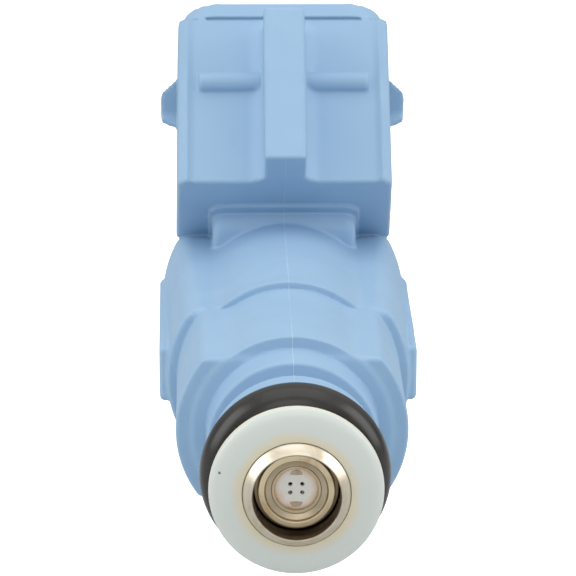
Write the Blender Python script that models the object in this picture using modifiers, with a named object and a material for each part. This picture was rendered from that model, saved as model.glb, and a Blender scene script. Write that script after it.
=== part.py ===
"""Top-fed petrol fuel injector with a moulded two-pin connector.

Frame: metres, the injector lies along Y with its nozzle toward -Y and its rail
end toward +Y, the connector rises toward +Z, and X is its width.  The origin is
the centre of the manifold O-ring, the ring that seals and holds the nozzle end.
"""

import math

import bpy
import bmesh
from mathutils import Matrix, Vector

for old in list(bpy.data.objects):
    bpy.data.objects.remove(old, do_unlink=True)

MM = 0.001

# ---- clearances (mm) -------------------------------------------------------
SEAT_GAP = 0.10          # between pieces that touch or are moulded together
RUN_GAP = 0.10           # radial running clearance of the armature
NEEDLE_LIFT = 0.10       # travel of the valve needle

# ---- seals (mm) ------------------------------------------------------------
RING_CORD = 3.53         # O-ring cord thickness
RING_BORE = 7.70         # O-ring inner diameter
RING_PITCH = 60.65       # from the manifold O-ring to the rail O-ring

# ---- valve end (mm) --------------------------------------------------------
TUBE_RADIUS = 3.75       # steel tube that carries both O-rings
BODY_BORE = 3.30         # bore of the valve body
NOSE_Y = -5.40           # front rim of the nose cone
NOSE_CONE = 0.80         # length of the cone behind the rim
NOSE_RADIUS = 4.10       # flared lip that keeps the cap on
NOSE_LIP = 0.60          # length of that lip
CAP_RADIUS = 6.68        # plastic cap over the nose
BODY_END_Y = 20.00       # rear end of the valve body
PLATE_Y = -3.10          # front face of the orifice plate
PLATE_THICK = 0.25
PLATE_HOLE = 0.34        # diameter of each spray hole
PLATE_HOLE_X = 0.46      # half spacing across
PLATE_HOLE_Z = 0.34      # half spacing up and down
PLATE_WINDOW = 1.80      # radius of the plate that stays visible
SEAT_LENGTH = 5.00
BALL_RADIUS = 1.50
SEAT_HOLE = 0.60         # radius of the metering hole below the ball
NEEDLE_RADIUS = 1.30
NEEDLE_BORE = 0.90
GUIDE_Y = 10.80          # front face of the needle guide
GUIDE_THICK = 0.80
GUIDE_GAP = 0.05         # radial clearance of the needle in its guide

# ---- magnetic circuit (mm) -------------------------------------------------
ARMATURE_Y = 13.50
ARMATURE_END_Y = 22.00
SHIM_THICK = 0.20
STOP_GAP = 0.03          # left between armature and shim at full lift
SLEEVE_END_Y = 25.00     # rear end of the non-magnetic sleeve
YOKE_Y = 13.40
BOBBIN_LENGTH = 14.80
BOBBIN_FLANGE = 0.80
BOBBIN_RADIUS = 6.00
BOBBIN_CORE = 0.60       # wall of the bobbin's core
WINDING_RADIUS = 5.75
SEAL_CORD = 0.90         # the two small seals at the ends of the coil
YOKE_WALL = 0.65
YOKE_FRONT_WALL = 1.10
WASHER_THICK = 1.10
SPRING_WIRE = 0.42
SPRING_RADIUS = 1.15     # mean radius of the coil
SPRING_TURNS = 8
SPRING_LENGTH = 14.00
SPRING_SEAT_Y = 19.50

# ---- rail end (mm) ---------------------------------------------------------
INLET_BORE = 1.70
FILTER_BORE = 3.05
FILTER_START_Y = 48.50
INLET_END_Y = 67.00
INLET_FLANGE = 5.00
INLET_FLANGE_LENGTH = 1.60
ADJUSTER_LENGTH = 11.00

# ---- moulded housing (mm) --------------------------------------------------
MOULD_BORE = TUBE_RADIUS + SEAT_GAP
FLANGE_RADIUS = 6.80     # flange behind the manifold O-ring
FLANGE_LENGTH = 2.00
NECK_GROOVE = 5.60
COLLAR_Y = 6.80
COLLAR_RADIUS = 6.92
BARREL_Y = 10.50         # front shoulder of the barrel
BARREL_TOP = 7.97        # radius of the top and bottom lobes
BARREL_SIDE = 9.40       # radius of the side lobes
STEP_Y = 24.66
STEP_TOP = 8.53
STEP_SIDE = 10.22
STEP_SIDE_END = 11.40    # the rear side lobes widen toward their rear end
SHELF_Z = 6.17           # flat shelf that cuts the side lobes off
BARREL_END_Y = 51.00
EAR_X = 11.12
EAR_Z = 2.44
EAR_Y = 25.93
EAR_END_Y = 48.32
REAR_NECK = 7.00
REAR_NECK_END_Y = RING_PITCH - RING_CORD / 2 - 1.50
BACKUP_THICK = 1.25

# ---- connector (mm), in its own frame: X across, Y through, Z toward the mouth
CONN_Y = 41.18           # near lower edge of the connector block
CONN_Z = 13.50
CONN_ANGLE = 50.72       # its axis above the injector's axis, degrees
CONN_NEAR = 9.72         # half width at the rib side
CONN_FAR = 10.10         # half width at the far side
CONN_DEPTH = 12.85
CONN_BODY = 16.93        # length of the square part
CONN_LIP = 1.45          # rounded lip at the mouth
CONN_EDGE = 0.90         # bevel of the long edges
CONN_CORNER = 3.30       # corner radius of the lip
CONN_WALL = 1.60
SOCKET_FLOOR = 4.60
RIB_HALF = 1.68
RIB_HEIGHT = 4.60
RIB_LENGTH = 14.90
RIDGE_Z = 10.20          # cross ridge on the near face
RIDGE_HALF = 7.80
RIDGE_RADIUS = 0.85
LATCH_LOW = 8.60
LATCH_HIGH = 13.60
LATCH_OUT = 1.50
LATCH_NEAR = 4.20
LATCH_FAR = 8.70
RISER_Y = 45.66
RISER_HALF = 6.80
RISER_END_Y = 53.60
TERMINAL_WIDTH = 2.80
TERMINAL_THICK = 0.80
TERMINAL_PITCH = 5.00
TERMINAL_TIP = 13.60
TERMINAL_RUN_Z = 5.60    # height of the flat run above the axis
TERMINAL_JOG = 1.20      # the pins step back by this below the socket floor

FACETS = 64              # around the housing
FINE = 30                # around the inner pieces

# ---------------------------------------------------------------------------

def collection(name):
    made = bpy.data.collections.new(name)
    bpy.context.scene.collection.children.link(made)
    return made


PARTS = collection("fuel_injector")
CUTTERS = collection("cutters")


def material(name, colour, roughness, metallic):
    made = bpy.data.materials.new(name)
    made.use_nodes = True
    shader = made.node_tree.nodes["Principled BSDF"]
    shader.inputs["Base Color"].default_value = (*colour, 1.0)
    shader.inputs["Roughness"].default_value = roughness
    shader.inputs["Metallic"].default_value = metallic
    return made


def add_object(name, data, parts=True):
    made = bpy.data.objects.new(name, data)
    (PARTS if parts else CUTTERS).objects.link(made)
    if not parts:
        made.hide_render = True
        made.display_type = "WIRE"
    return made


def smooth(made, angle=32.0):
    made.data.shade_smooth()
    made.data.set_sharp_from_angle(angle=math.radians(angle))


def empty(name, location, turn=0.0):
    made = bpy.data.objects.new(name, None)
    made.location = Vector(location) * MM
    made.rotation_euler = (math.radians(turn), 0.0, 0.0)
    PARTS.objects.link(made)
    return made


ROOT = empty("injector_root", (0.0, 0.0, 0.0))
NEEDLE = empty("needle_axis", (0.0, 0.0, 0.0))
CONN = empty("connector_axes", (0.0, CONN_Y, CONN_Z), CONN_ANGLE - 90.0)


def turned(name, profile, facets=FINE, parts=True, parent=None):
    """Turn (radius, station) pairs about the injector's axis.

    The pairs run along the outer side from the rail end to the nozzle end, and
    back along the bore.  A profile that starts and ends on the axis stays open.
    """
    start = min(station for _, station in profile)
    mesh = bpy.data.meshes.new(name)
    shape = bmesh.new()
    points = [shape.verts.new((radius * MM, 0.0, (station - start) * MM)) for radius, station in profile]
    for first, second in zip(points, points[1:]):
        shape.edges.new((first, second))
    if profile[0][0] > 0.0:
        shape.edges.new((points[-1], points[0]))
    shape.to_mesh(mesh)
    shape.free()
    made = add_object(name, mesh, parts)
    made.location = (0.0, start * MM, 0.0)
    made.rotation_euler = (math.radians(-90.0), 0.0, 0.0)
    screw = made.modifiers.new("turn", "SCREW")
    screw.steps = facets
    screw.render_steps = facets
    screw.use_merge_vertices = True
    screw.merge_threshold = 1e-6
    screw.use_smooth_shade = True
    made.parent = parent or ROOT
    return made


def tube(name, outer, inner, start, end, facets=FINE, parts=True, parent=None):
    """Plain sleeve."""
    profile = [(outer, end), (outer, start), (inner, start), (inner, end)]
    return turned(name, profile, facets, parts, parent)


def disc(name, radius, start, end, facets=FINE, parts=False):
    """Solid round bar along the injector's axis."""
    return turned(name, [(0.0, end), (radius, end), (radius, start), (0.0, start)], facets, parts)


def box(name, low, high, parts=False, parent=None):
    """Box between two corners in its parent's frame."""
    mesh = bpy.data.meshes.new(name)
    shape = bmesh.new()
    bmesh.ops.create_cube(shape, size=1.0)
    size = [(b - a) * MM for a, b in zip(low, high)]
    bmesh.ops.scale(shape, vec=size, verts=shape.verts)
    shape.to_mesh(mesh)
    shape.free()
    made = add_object(name, mesh, parts)
    made.location = [(a + b) / 2 * MM for a, b in zip(low, high)]
    made.parent = parent or ROOT
    return made


def bar(name, start, end, radius, facets=24, parts=False, parent=None, end_radius=None):
    """Round bar or cone between two points in its parent's frame."""
    start = Vector(start) * MM
    end = Vector(end) * MM
    mesh = bpy.data.meshes.new(name)
    shape = bmesh.new()
    top = radius if end_radius is None else end_radius
    bmesh.ops.create_cone(
        shape,
        cap_ends=True,
        segments=facets,
        radius1=radius * MM,
        radius2=top * MM,
        depth=(end - start).length,
    )
    shape.to_mesh(mesh)
    shape.free()
    made = add_object(name, mesh, parts)
    made.location = (start + end) / 2
    made.rotation_euler = (end - start).to_track_quat("Z", "Y").to_euler()
    made.parent = parent or ROOT
    return made


def outline(name, points, low, high, parts=False, parent=None, turn=None):
    """Flat outline in the parent's XY plane, made thick along its Z."""
    curve = bpy.data.curves.new(name + "_curve", "CURVE")
    curve.dimensions = "2D"
    curve.fill_mode = "BOTH"
    curve.extrude = (high - low) / 2 * MM
    spline = curve.splines.new("POLY")
    spline.points.add(len(points) - 1)
    for place, (across, through) in zip(spline.points, points):
        place.co = (across * MM, through * MM, 0.0, 1.0)
    spline.use_cyclic_u = True
    guide = bpy.data.objects.new(name + "_curve", curve)
    CUTTERS.objects.link(guide)
    mesh = bpy.data.meshes.new_from_object(guide.evaluated_get(bpy.context.evaluated_depsgraph_get()))
    bpy.data.objects.remove(guide, do_unlink=True)
    shape = bmesh.new()
    shape.from_mesh(mesh)
    bmesh.ops.remove_doubles(shape, verts=shape.verts, dist=1e-7)
    bmesh.ops.recalc_face_normals(shape, faces=shape.faces)
    shape.to_mesh(mesh)
    shape.free()
    made = add_object(name, mesh, parts)
    made.location = (0.0, 0.0, (high + low) / 2 * MM)
    if turn is not None:
        made.matrix_local = turn @ Matrix.Translation(made.location)
    made.parent = parent or ROOT
    return made


def boolean(target, tool, operation):
    step = target.modifiers.new(operation.lower() + "_" + tool.name, "BOOLEAN")
    step.operation = operation
    step.solver = "EXACT"
    step.object = tool


def join(target, *tools):
    for tool in tools:
        boolean(target, tool, "UNION")


def cut(target, *tools):
    for tool in tools:
        boolean(target, tool, "DIFFERENCE")


def dress(made, name, colour, roughness, metallic=0.0):
    made.data.materials.append(material(name, colour, roughness, metallic))


def arc(centre, radius, first, last, count):
    """Points on an arc in a plane, angles in degrees."""
    step = (last - first) / count
    return [
        (
            centre[0] + radius * math.cos(math.radians(first + step * i)),
            centre[1] + radius * math.sin(math.radians(first + step * i)),
        )
        for i in range(count + 1)
    ]


# ---- moulded housing -------------------------------------------------------
HALF_CORD = RING_CORD / 2
FLANGE_Y = HALF_CORD + SEAT_GAP
COIL_BAY_Y = YOKE_Y - SEAT_GAP
COIL_BAY_RADIUS = BOBBIN_RADIUS + SEAT_GAP + YOKE_WALL + SEAT_GAP
YOKE_BORE = BOBBIN_RADIUS + SEAT_GAP
BOBBIN_Y = YOKE_Y + YOKE_FRONT_WALL + SEAT_GAP
WASHER_Y = BOBBIN_Y + BOBBIN_LENGTH + SEAT_GAP
YOKE_END_Y = WASHER_Y + WASHER_THICK + 0.30
REAR_SEAL_Y = YOKE_END_Y + 0.10 + SEAL_CORD / 2
COIL_BAY_END_Y = REAR_SEAL_Y + SEAL_CORD / 2 + 0.40
FRONT_SEAL_Y = YOKE_Y - 0.35 - SEAL_CORD / 2
SEAL_POCKET = TUBE_RADIUS + SEAT_GAP + SEAL_CORD + SEAT_GAP
TERMINAL_FOOT_Y = YOKE_END_Y + 0.30

housing = turned(
    "overmould_housing",
    [
        (0.0, REAR_NECK_END_Y),
        (REAR_NECK, REAR_NECK_END_Y),
        (REAR_NECK, BARREL_END_Y),
        (STEP_TOP - 0.40, BARREL_END_Y),
        (STEP_TOP, BARREL_END_Y - 0.40),
        (STEP_TOP, STEP_Y + 0.15),
        (STEP_TOP - 0.15, STEP_Y),
        (BARREL_TOP, STEP_Y),
        (BARREL_TOP, BARREL_Y + 0.25),
        (BARREL_TOP - 0.25, BARREL_Y),
        (COLLAR_RADIUS, BARREL_Y),
        (COLLAR_RADIUS, COLLAR_Y + 0.35),
        (COLLAR_RADIUS - 0.35, COLLAR_Y),
        (NECK_GROOVE, COLLAR_Y),
        (NECK_GROOVE, FLANGE_Y + FLANGE_LENGTH),
        (FLANGE_RADIUS, FLANGE_Y + FLANGE_LENGTH),
        (FLANGE_RADIUS, FLANGE_Y + 0.20),
        (FLANGE_RADIUS - 0.20, FLANGE_Y),
        (0.0, FLANGE_Y),
    ],
    FACETS,
)


def lobe(name, front_radius, rear_radius, start, end):
    """Wide round lobe cut flat at the upper and lower shelves."""
    made = bar(name, (0.0, start, 0.0), (0.0, end, 0.0), front_radius, FACETS, end_radius=rear_radius)
    reach = 2.0 * rear_radius
    slab = box(name + "_slab", (-reach, start - 1.0, -SHELF_Z), (reach, end + 1.0, SHELF_Z))
    boolean(made, slab, "INTERSECT")
    return made


front_lobe = lobe("front_lobe", BARREL_SIDE, BARREL_SIDE + 0.15, BARREL_Y, STEP_Y + 0.5)
rear_lobe = lobe("rear_lobe", STEP_SIDE, STEP_SIDE_END, STEP_Y, EAR_END_Y - 0.05)
ears = box("ears", (-EAR_X, EAR_Y, -EAR_Z), (EAR_X, EAR_END_Y, EAR_Z))
join(housing, front_lobe, rear_lobe, ears)

# ---- connector moulding ----------------------------------------------------
ANGLE = math.radians(CONN_ANGLE)
RISER_TOP = CONN_Z - (RISER_Y - CONN_Y) * math.cos(ANGLE) / math.sin(ANGLE) - 0.03
riser = box("riser", (-RISER_HALF, RISER_Y, 0.0), (RISER_HALF, RISER_END_Y, RISER_TOP))


def across(through):
    """Half width of the connector block at a depth below its near face."""
    return CONN_NEAR + (CONN_FAR - CONN_NEAR) * through / CONN_DEPTH


def rounded(near, far, half_near, half_far, radius, count):
    """Closed outline with four round corners, wide along X, deep along Y."""
    corners = [
        ((half_far - radius, far - radius), 0.0),
        ((radius - half_far, far - radius), 90.0),
        ((radius - half_near, near + radius), 180.0),
        ((half_near - radius, near + radius), 270.0),
    ]
    points = []
    for centre, first in corners:
        points += arc(centre, radius, first, first + 90.0, count)
    return points


block = outline(
    "connector_block",
    rounded(0.0, CONN_DEPTH, CONN_NEAR, CONN_FAR, CONN_EDGE, 2),
    0.0,
    CONN_BODY,
    parent=CONN,
)
MOUTH = CONN_BODY + CONN_LIP
lip = outline(
    "connector_lip",
    rounded(0.0, CONN_DEPTH, across(0.0), across(CONN_DEPTH), CONN_CORNER, 6),
    CONN_BODY - 1.0,
    MOUTH,
    parent=CONN,
)
rib = box("centre_rib", (-RIB_HALF, -RIB_HEIGHT, 0.0), (RIB_HALF, 1.0, RIB_LENGTH), parent=CONN)
ridge = bar(
    "cross_ridge",
    (-RIDGE_HALF, 0.0, RIDGE_Z),
    (RIDGE_HALF, 0.0, RIDGE_Z),
    RIDGE_RADIUS,
    16,
    parent=CONN,
)
join(housing, riser, block, lip, rib, ridge)
LATCH_TURN = Matrix.Rotation(math.radians(90.0), 4, "X")
for side, label in ((-1, "left"), (1, "right")):
    root = side * (CONN_NEAR - 0.8)
    crest = side * (across((LATCH_NEAR + LATCH_FAR) / 2) + LATCH_OUT)
    latch = outline(
        "latch_" + label,
        [
            (root, LATCH_LOW - 0.4),
            (crest, LATCH_LOW + 0.6),
            (crest, LATCH_HIGH - 1.7),
            (root, LATCH_HIGH + 0.6),
        ],
        -LATCH_FAR,
        -LATCH_NEAR,
        parent=CONN,
        turn=LATCH_TURN,
    )
    join(housing, latch)

socket = outline(
    "socket_hollow",
    rounded(
        CONN_WALL,
        CONN_DEPTH - CONN_WALL,
        across(CONN_WALL) - CONN_WALL,
        across(CONN_DEPTH - CONN_WALL) - CONN_WALL,
        CONN_CORNER - CONN_WALL,
        5,
    ),
    SOCKET_FLOOR,
    MOUTH + 1.0,
    parent=CONN,
)
bore = turned(
    "housing_bore",
    [
        (0.0, REAR_NECK_END_Y + 1.0),
        (MOULD_BORE, REAR_NECK_END_Y + 1.0),
        (MOULD_BORE, COIL_BAY_END_Y),
        (COIL_BAY_RADIUS, COIL_BAY_END_Y),
        (COIL_BAY_RADIUS, COIL_BAY_Y),
        (SEAL_POCKET, COIL_BAY_Y),
        (SEAL_POCKET, FRONT_SEAL_Y - SEAL_CORD / 2 - SEAT_GAP),
        (MOULD_BORE, FRONT_SEAL_Y - SEAL_CORD / 2 - SEAT_GAP),
        (MOULD_BORE, FLANGE_Y - 1.0),
        (0.0, FLANGE_Y - 1.0),
    ],
    FACETS,
    parts=False,
)

# ---- terminals: flat pins that run from the coil up into the socket --------
STRAP_TURN = Matrix(((0, 0, 1, 0), (1, 0, 0, 0), (0, 1, 0, 0), (0, 0, 0, 1)))
PIN_THROUGH = CONN_DEPTH / 2


def pin_point(up, through):
    """Point in the connector's middle plane, as (Y, Z) in the injector's frame."""
    return Vector(
        (
            CONN_Y + up * math.cos(ANGLE) + through * math.sin(ANGLE),
            CONN_Z + up * math.sin(ANGLE) - through * math.cos(ANGLE),
        )
    )


def strip(path, half):
    """Outline of a bent strip: the path offset by its half thickness each way."""
    sides = []
    for index, point in enumerate(path):
        before = path[index] - path[index - 1] if index else path[1] - path[0]
        after = path[index + 1] - path[index] if index + 1 < len(path) else before
        middle = (before.normalized() + after.normalized()).normalized()
        reach = half / middle.dot(after.normalized())
        sides.append(Vector((-middle.y, middle.x)) * reach)
    over = [point + side for point, side in zip(path, sides)]
    under = [point - side for point, side in zip(path, sides)]
    return [tuple(point) for point in under + over[::-1]]


def strap(foot, tip):
    """Middle line of a pin: a flat run, a bend and a jog under the socket floor."""
    deep = PIN_THROUGH + TERMINAL_JOG
    bend_up = (TERMINAL_RUN_Z - pin_point(0.0, deep).y) / math.sin(ANGLE)
    return [
        Vector((foot, TERMINAL_RUN_Z)),
        pin_point(bend_up, deep),
        pin_point(SOCKET_FLOOR - 3.2, deep),
        pin_point(SOCKET_FLOOR - 1.2, PIN_THROUGH),
        pin_point(tip, PIN_THROUGH),
    ]


TIN = (0.62, 0.60, 0.55)
for side, label in ((-1, "left"), (1, "right")):
    middle = side * TERMINAL_PITCH / 2
    half_width = TERMINAL_WIDTH / 2
    pin = outline(
        "terminal_" + label,
        strip(strap(TERMINAL_FOOT_Y, TERMINAL_TIP), TERMINAL_THICK / 2),
        middle - half_width,
        middle + half_width,
        parts=True,
        turn=STRAP_TURN,
    )
    dress(pin, "tinned_brass_" + label, TIN, 0.32, 1.0)
    channel = outline(
        "terminal_channel_" + label,
        strip(strap(COIL_BAY_END_Y - 1.5, SOCKET_FLOOR + 1.0), TERMINAL_THICK / 2 + SEAT_GAP),
        middle - half_width - SEAT_GAP,
        middle + half_width + SEAT_GAP,
        turn=STRAP_TURN,
    )
    cut(housing, channel)
cut(housing, socket, bore)
dress(housing, "blue_nylon", (0.36, 0.53, 0.73), 0.48)

# ---- seals, cap and backup ring --------------------------------------------
RING_MEAN = RING_BORE / 2 + HALF_CORD
BLACK = (0.035, 0.034, 0.032)


def seal(name, mean, cord, station, around, section):
    """O-ring about the injector's axis."""
    bpy.ops.mesh.primitive_torus_add(
        major_radius=mean * MM,
        minor_radius=cord / 2 * MM,
        major_segments=around,
        minor_segments=section,
        location=(0.0, station * MM, 0.0),
        rotation=(math.radians(90.0), 0.0, 0.0),
    )
    made = bpy.context.object
    made.name = name
    made.data.name = name
    for owner in list(made.users_collection):
        owner.objects.unlink(made)
    PARTS.objects.link(made)
    made.parent = ROOT
    smooth(made, 60.0)
    return made


manifold_ring = seal("manifold_o_ring", RING_MEAN, RING_CORD, 0.0, 40, 10)
dress(manifold_ring, "ring_rubber_lower", BLACK, 0.38)
rail_ring = seal("rail_o_ring", RING_MEAN, RING_CORD, RING_PITCH, 40, 10)
dress(rail_ring, "ring_rubber_upper", BLACK, 0.38)
SEAL_MEAN = TUBE_RADIUS + SEAT_GAP + SEAL_CORD / 2
front_seal = seal("coil_seal_front", SEAL_MEAN, SEAL_CORD, FRONT_SEAL_Y, 28, 8)
dress(front_seal, "seal_rubber_front", (0.05, 0.035, 0.03), 0.5)
rear_seal = seal("coil_seal_rear", SEAL_MEAN, SEAL_CORD, REAR_SEAL_Y, 28, 8)
dress(rear_seal, "seal_rubber_rear", (0.05, 0.035, 0.03), 0.5)

LIP_Y = NOSE_Y + NOSE_CONE
CAP_REAR_Y = -HALF_CORD - SEAT_GAP
cap = turned(
    "nozzle_cap",
    [
        (CAP_RADIUS - 0.25, CAP_REAR_Y),
        (CAP_RADIUS, CAP_REAR_Y - 0.25),
        (CAP_RADIUS, LIP_Y + 1.20),
        (CAP_RADIUS - 0.22, LIP_Y + 0.72),
        (CAP_RADIUS - 0.75, LIP_Y + 0.38),
        (NOSE_RADIUS + SEAT_GAP, LIP_Y),
        (NOSE_RADIUS + SEAT_GAP, LIP_Y + NOSE_LIP + 0.15),
        (TUBE_RADIUS + SEAT_GAP, LIP_Y + NOSE_LIP + 0.50),
        (TUBE_RADIUS + SEAT_GAP, CAP_REAR_Y),
    ],
    44,
)
dress(cap, "milky_nylon", (0.62, 0.66, 0.62), 0.35)

BACKUP_Y = REAR_NECK_END_Y + SEAT_GAP
backup = tube("rail_backup_ring", 6.60, TUBE_RADIUS + SEAT_GAP, BACKUP_Y, BACKUP_Y + BACKUP_THICK, 44)
dress(backup, "backup_nylon", (0.10, 0.10, 0.10), 0.5)

# ---- valve end -------------------------------------------------------------
STEEL = (0.46, 0.43, 0.38)
valve_body = turned(
    "valve_body",
    [
        (TUBE_RADIUS, BODY_END_Y),
        (TUBE_RADIUS, LIP_Y + NOSE_LIP + 0.35),
        (NOSE_RADIUS, LIP_Y + NOSE_LIP),
        (NOSE_RADIUS, LIP_Y),
        (BODY_BORE + 0.12, NOSE_Y),
        (BODY_BORE, NOSE_Y + 0.10),
        (BODY_BORE, BODY_END_Y),
    ],
    44,
)
dress(valve_body, "nose_steel", STEEL, 0.3, 1.0)

FITTED = BODY_BORE - SEAT_GAP
retainer = turned(
    "plate_retainer",
    [
        (FITTED, PLATE_Y - SEAT_GAP),
        (FITTED, PLATE_Y - 0.75),
        (2.93, PLATE_Y - 0.75),
        (2.75, PLATE_Y - 0.45),
        (2.35, PLATE_Y - 0.40),
        (PLATE_WINDOW + 0.05, PLATE_Y - 0.25),
        (PLATE_WINDOW, PLATE_Y - SEAT_GAP),
    ],
)
dress(retainer, "retainer_steel", (0.38, 0.33, 0.25), 0.35, 1.0)

plate = disc("orifice_plate", FITTED, PLATE_Y, PLATE_Y + PLATE_THICK, parts=True)
for hole_x in (-PLATE_HOLE_X, PLATE_HOLE_X):
    for hole_z in (-PLATE_HOLE_Z, PLATE_HOLE_Z):
        drill = bar(
            "spray_hole",
            (hole_x, PLATE_Y - 1.0, hole_z),
            (hole_x, PLATE_Y + PLATE_THICK + 1.0, hole_z),
            PLATE_HOLE / 2,
            12,
        )
        cut(plate, drill)
dress(plate, "plate_steel", (0.75, 0.72, 0.66), 0.4, 0.9)

# The ball touches the 45 degree seat at the ring where its own slope is 45.
SEAT_Y = PLATE_Y + PLATE_THICK + SEAT_GAP
BALL_GAP = 0.02
CONE_Y = SEAT_Y + 1.60
BALL_Y = CONE_Y - SEAT_HOLE + (BALL_RADIUS + BALL_GAP) * math.sqrt(2.0)
BALL_BORE = BALL_RADIUS + RUN_GAP
seat = turned(
    "valve_seat",
    [
        (FITTED, SEAT_Y + SEAT_LENGTH),
        (FITTED, SEAT_Y),
        (SEAT_HOLE, SEAT_Y),
        (SEAT_HOLE, CONE_Y),
        (BALL_BORE, CONE_Y + BALL_BORE - SEAT_HOLE),
        (BALL_BORE, SEAT_Y + SEAT_LENGTH - 1.20),
        (BALL_BORE + 0.90, SEAT_Y + SEAT_LENGTH),
    ],
)
dress(seat, "seat_steel", STEEL, 0.25, 1.0)


def drill_round(target, name, radius, hole, start, end, count, first=0.0):
    """Holes on a circle about the injector's axis."""
    for index in range(count):
        turn = math.radians(first + 360.0 / count * index)
        centre_x = radius * math.cos(turn)
        centre_z = radius * math.sin(turn)
        tool = bar(name, (centre_x, start, centre_z), (centre_x, end, centre_z), hole, 12)
        cut(target, tool)


guide = tube("needle_guide", FITTED, NEEDLE_RADIUS + GUIDE_GAP, GUIDE_Y, GUIDE_Y + GUIDE_THICK)
drill_round(guide, "guide_port", 2.25, 0.50, GUIDE_Y - 1.0, GUIDE_Y + GUIDE_THICK + 1.0, 3, 30.0)
dress(guide, "guide_steel", STEEL, 0.3, 1.0)

# ---- moving valve needle: ball, tube and armature --------------------------
ball_mesh = bpy.data.meshes.new("valve_ball")
ball_shape = bmesh.new()
bmesh.ops.create_uvsphere(ball_shape, u_segments=20, v_segments=12, radius=BALL_RADIUS * MM)
ball_shape.to_mesh(ball_mesh)
ball_shape.free()
ball = add_object("valve_ball", ball_mesh)
ball.location = (0.0, BALL_Y * MM, 0.0)
ball.rotation_euler = (math.radians(90.0), 0.0, 0.0)
ball.parent = NEEDLE
smooth(ball, 60.0)
dress(ball, "ball_steel", (0.6, 0.6, 0.6), 0.08, 1.0)

PRESS_LENGTH = 1.90
NEEDLE_START = BALL_Y + math.sqrt(BALL_RADIUS ** 2 - NEEDLE_BORE ** 2) + 0.04
needle = tube(
    "needle_tube",
    NEEDLE_RADIUS,
    NEEDLE_BORE,
    NEEDLE_START,
    ARMATURE_Y + PRESS_LENGTH - SEAT_GAP,
    24,
    parent=NEEDLE,
)
port = bar("needle_port", (-3.0, 5.0, 0.0), (3.0, 5.0, 0.0), 0.35, 12)
cut(needle, port)
dress(needle, "needle_steel", (0.5, 0.5, 0.5), 0.25, 1.0)

ARMATURE_RADIUS = BODY_BORE - RUN_GAP
SPRING_POCKET = INLET_BORE
armature = turned(
    "armature",
    [
        (ARMATURE_RADIUS - 0.15, ARMATURE_END_Y),
        (ARMATURE_RADIUS, ARMATURE_END_Y - 0.15),
        (ARMATURE_RADIUS, ARMATURE_Y + 3.0),
        (ARMATURE_RADIUS - 0.50, ARMATURE_Y + 2.5),
        (ARMATURE_RADIUS - 0.50, ARMATURE_Y),
        (NEEDLE_RADIUS + 0.03, ARMATURE_Y),
        (NEEDLE_RADIUS + 0.03, ARMATURE_Y + PRESS_LENGTH),
        (NEEDLE_BORE, ARMATURE_Y + PRESS_LENGTH),
        (NEEDLE_BORE, SPRING_SEAT_Y - SEAT_GAP),
        (SPRING_POCKET, SPRING_SEAT_Y - SEAT_GAP),
        (SPRING_POCKET, ARMATURE_END_Y),
    ],
    parent=NEEDLE,
)
dress(armature, "armature_steel", (0.42, 0.42, 0.43), 0.3, 1.0)

# ---- return spring ---------------------------------------------------------
SPRING_STEPS = 11
spring_curve = bpy.data.curves.new("return_spring", "CURVE")
spring_curve.dimensions = "3D"
spring_curve.bevel_depth = SPRING_WIRE / 2 * MM
spring_curve.bevel_resolution = 2
spring_curve.use_fill_caps = True
spline = spring_curve.splines.new("POLY")
count = SPRING_TURNS * SPRING_STEPS
spline.points.add(count)
spring_rise = SPRING_LENGTH - SPRING_WIRE
for index, place in enumerate(spline.points):
    turn = 2.0 * math.pi * index / SPRING_STEPS
    station = SPRING_SEAT_Y + SPRING_WIRE / 2 + spring_rise * index / count
    place.co = (
        SPRING_RADIUS * math.cos(turn) * MM,
        station * MM,
        SPRING_RADIUS * math.sin(turn) * MM,
        1.0,
    )
spring = add_object("return_spring", spring_curve)
spring.parent = ROOT
spring_curve.materials.append(material("spring_steel", (0.5, 0.5, 0.48), 0.3, 1.0))

# ---- magnetic circuit ------------------------------------------------------
sleeve = tube("nonmagnetic_sleeve", TUBE_RADIUS, BODY_BORE, BODY_END_Y + SEAT_GAP, SLEEVE_END_Y)
dress(sleeve, "sleeve_steel", (0.55, 0.53, 0.5), 0.35, 1.0)
SHIM_Y = ARMATURE_END_Y + NEEDLE_LIFT + STOP_GAP
shim = tube("lift_shim", FITTED, INLET_BORE + 0.30, SHIM_Y, SHIM_Y + SHIM_THICK)
dress(shim, "shim_chrome", (0.7, 0.7, 0.7), 0.15, 1.0)

BOBBIN_BORE = TUBE_RADIUS + SEAT_GAP
BOBBIN_END_Y = BOBBIN_Y + BOBBIN_LENGTH
core_radius = BOBBIN_BORE + BOBBIN_CORE
bobbin = turned(
    "coil_bobbin",
    [
        (BOBBIN_RADIUS, BOBBIN_END_Y),
        (BOBBIN_RADIUS, BOBBIN_END_Y - BOBBIN_FLANGE),
        (core_radius, BOBBIN_END_Y - BOBBIN_FLANGE),
        (core_radius, BOBBIN_Y + BOBBIN_FLANGE),
        (BOBBIN_RADIUS, BOBBIN_Y + BOBBIN_FLANGE),
        (BOBBIN_RADIUS, BOBBIN_Y),
        (BOBBIN_BORE, BOBBIN_Y),
        (BOBBIN_BORE, BOBBIN_END_Y),
    ],
)
TOWER_HALF = TERMINAL_PITCH / 2 + 0.50
TOWER_TOP = TERMINAL_RUN_Z - TERMINAL_THICK / 2 - 0.15
TOWER_LOW = TOWER_TOP - 0.55
tower = box(
    "bobbin_tower",
    (-TOWER_HALF, BOBBIN_END_Y - BOBBIN_FLANGE / 2, TOWER_LOW),
    (TOWER_HALF, WASHER_Y + WASHER_THICK + 0.15, TOWER_TOP),
)
join(bobbin, tower)
LEAD_X = TERMINAL_PITCH / 2 + 0.10
LEAD_RADIUS = 0.10
LEAD_Z = TOWER_TOP + 0.25
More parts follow.
